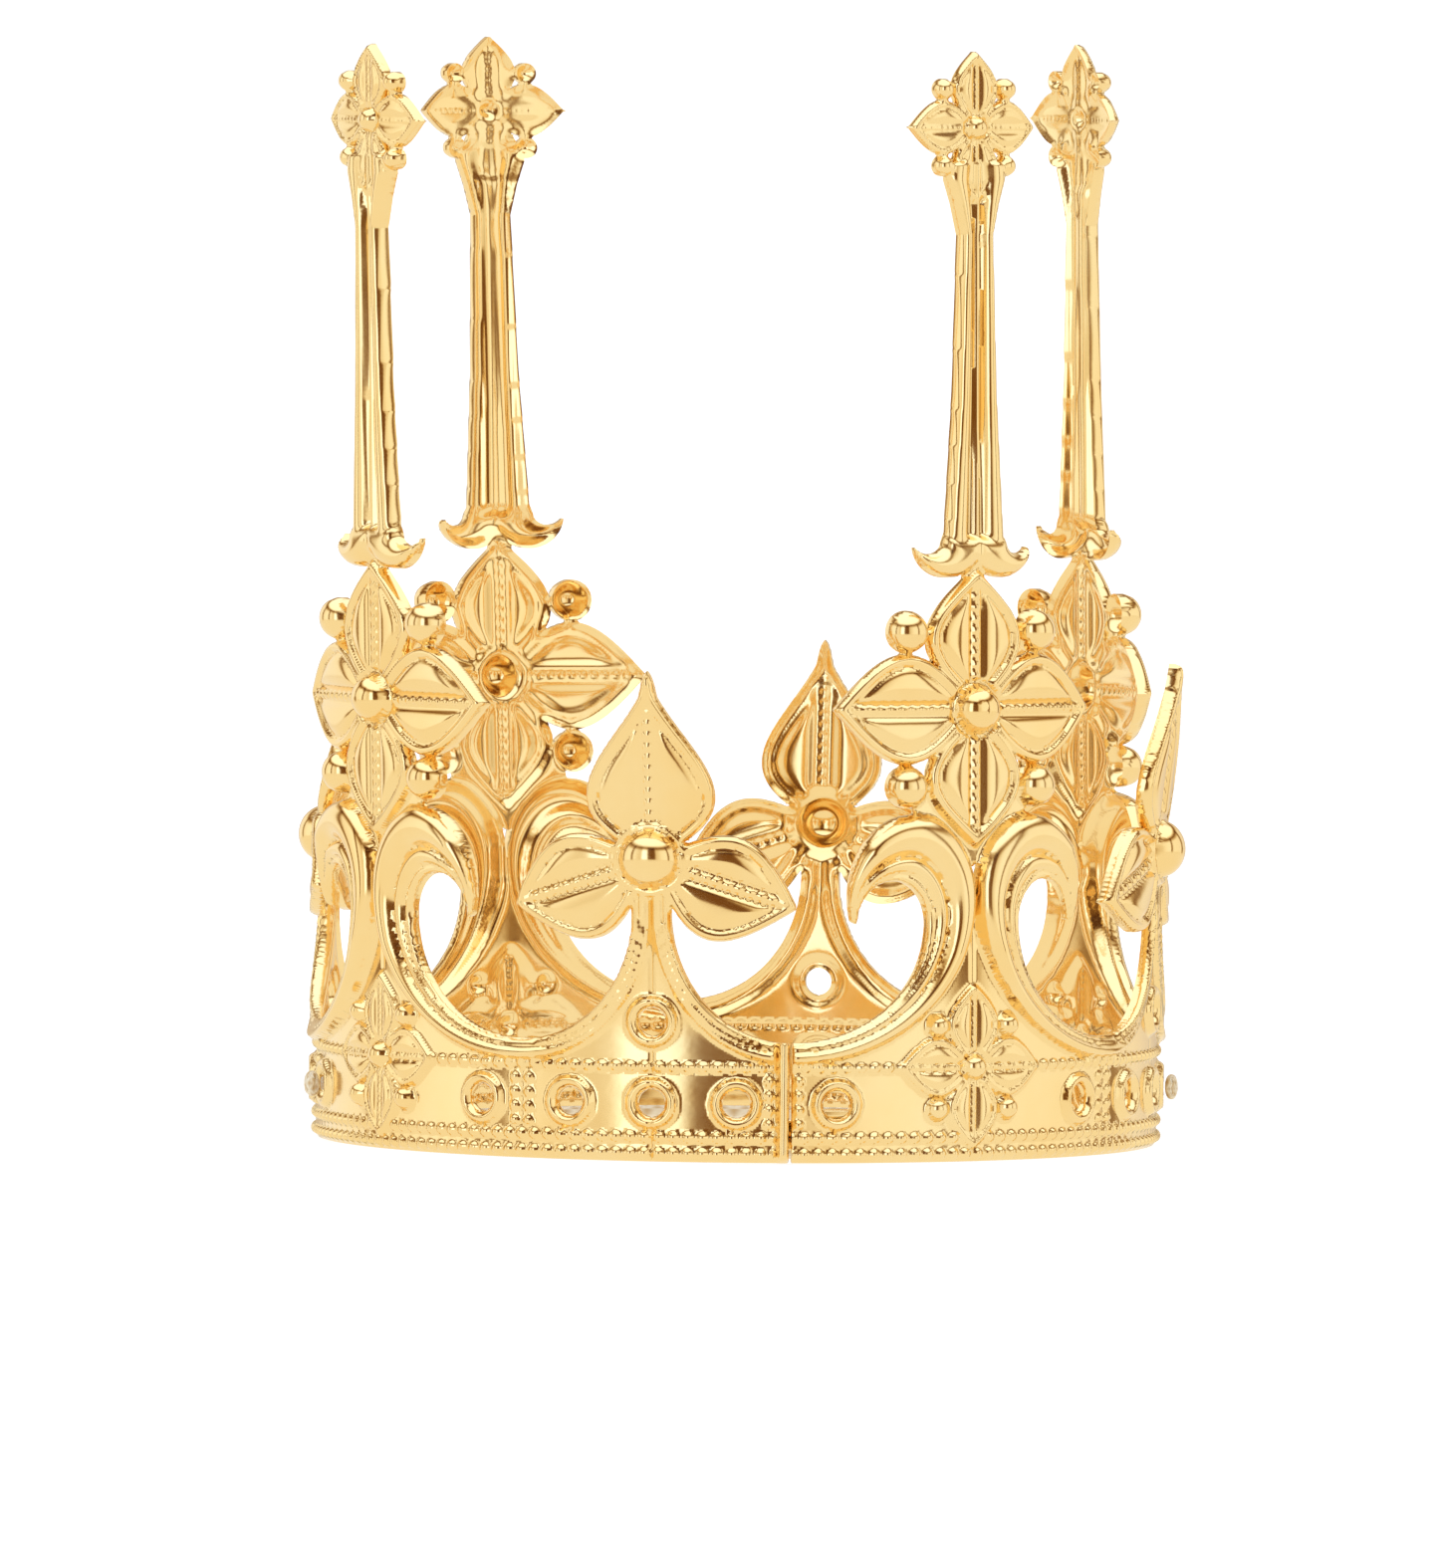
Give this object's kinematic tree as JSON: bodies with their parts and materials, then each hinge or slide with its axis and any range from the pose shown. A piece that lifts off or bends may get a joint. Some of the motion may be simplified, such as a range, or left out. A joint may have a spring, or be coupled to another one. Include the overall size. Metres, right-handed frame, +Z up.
{
  "type": "mini party crown",
  "caption": "Small gold plastic party crown: beaded band with tall flower-topped towers and low trefoils, and a chin elastic.",
  "frame": {"origin": "centre of the base ring, on the surface the crown stands on", "axes": "+Z up, front seam towards -Y, +X towards the right half shell"},
  "size_m": [0.0931, 0.0978, 0.116],
  "materials": {
    "left_gold": "vacuum-metallised gold on moulded plastic, glossy with faint moulding ripple",
    "right_gold": "vacuum-metallised gold on moulded plastic, glossy with faint moulding ripple",
    "elastic_braid": "round braided elastic, cream, matte",
    "knot_braid": "round braided elastic, cream, matte"
  },
  "bodies": {
    "left_half": {"left_half_shell": "left_gold", "left_knot": "knot_braid", "chin_elastic": "elastic_braid"},
    "right_half": {"right_half_shell": "right_gold", "right_knot": "knot_braid"}
  },
  "joints": [
    {"name": "seam_slip", "type": "slide", "parent": "left_half", "child": "right_half", "axis": [1, 0, 0], "range_m": [0, 0.009], "deforming": ["chin_elastic"]}
  ]
}
